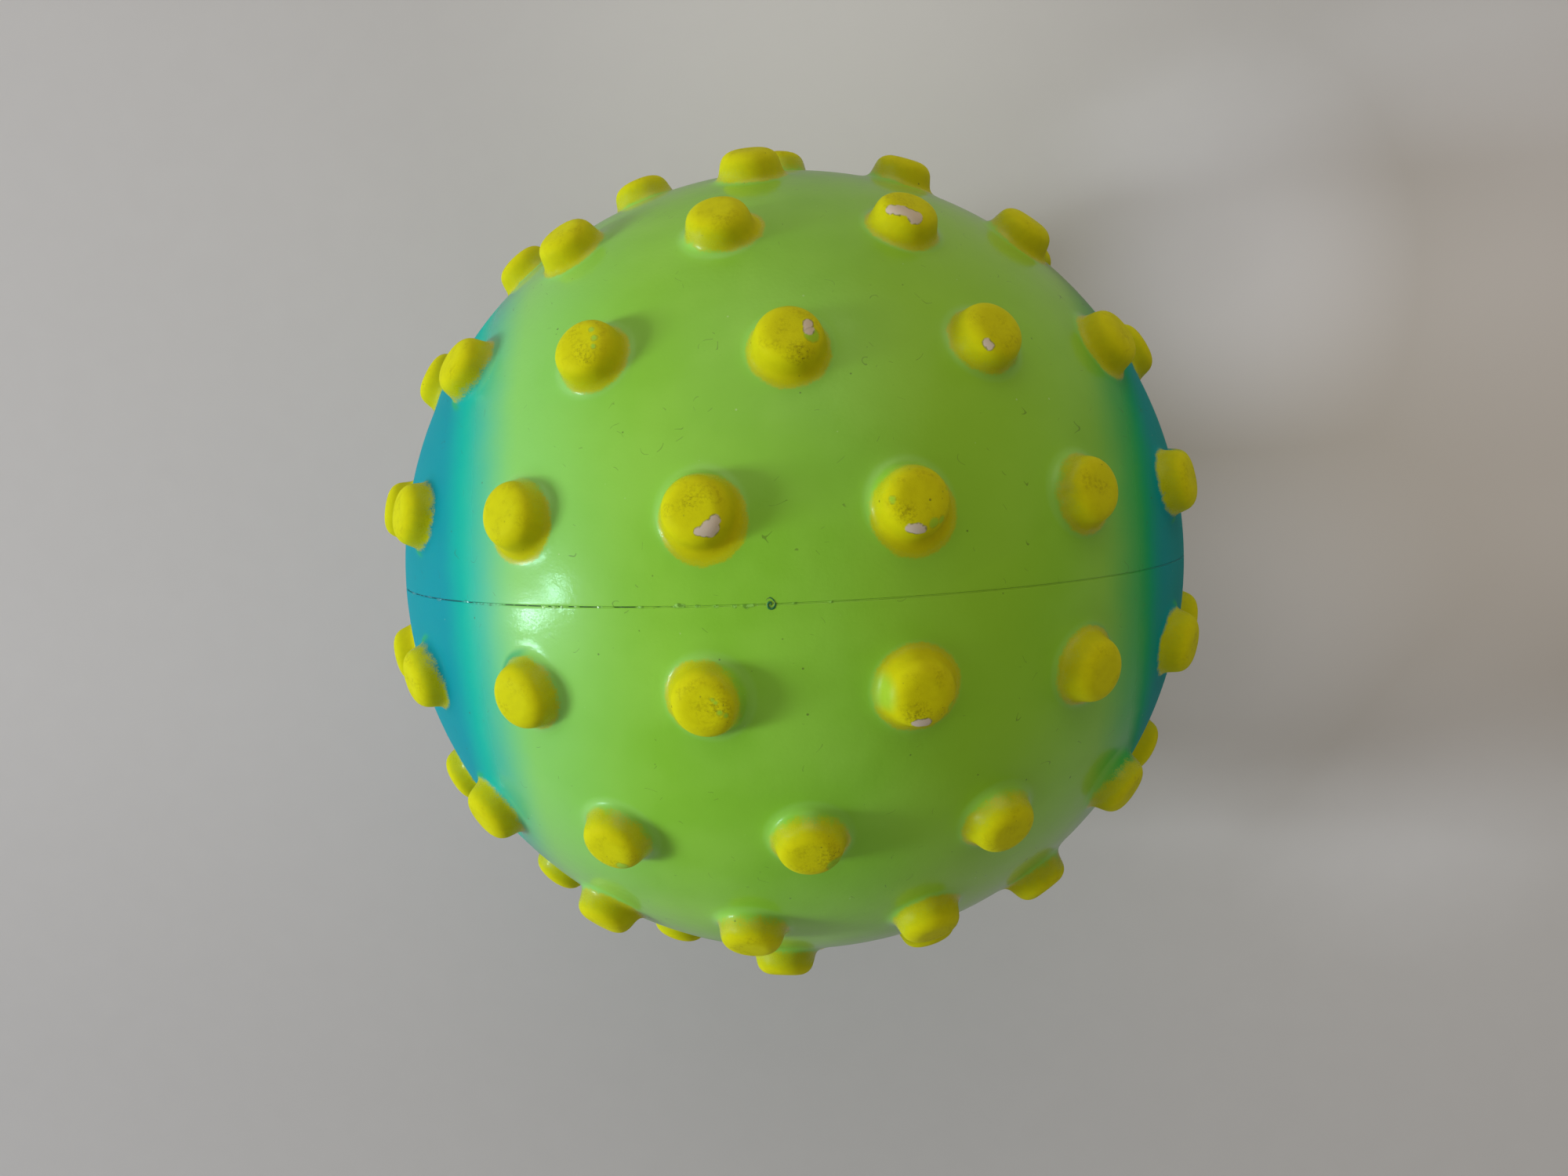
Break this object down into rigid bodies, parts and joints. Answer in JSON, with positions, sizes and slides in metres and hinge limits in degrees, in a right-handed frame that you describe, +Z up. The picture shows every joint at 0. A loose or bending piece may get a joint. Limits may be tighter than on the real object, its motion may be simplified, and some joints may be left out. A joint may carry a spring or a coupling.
{
  "type": "massage ball",
  "caption": "Hollow massage ball of soft plastic with blunt round nubs all over, green with blue ends, two half shells joined at a seam with a sealed air hole.",
  "frame": {"origin": "centre of the ball", "axes": "+Z up as the ball stands on four nubs, +Y along the pole axis of the rear half shell, square to the seam plane; the blue ends lie near +X and -X"},
  "size_m": [0.105, 0.1064, 0.1044],
  "materials": {
    "skin": "glossy sprayed green with blue ends and matt yellow nubs, on soft plastic",
    "weld": "bare soft plastic",
    "plug": "painted over with the skin"
  },
  "bodies": {
    "root": {"rear_half_shell": "skin", "front_half_shell": "skin", "weld_band": "weld", "vent_plug": "plug"}
  },
  "joints": []
}
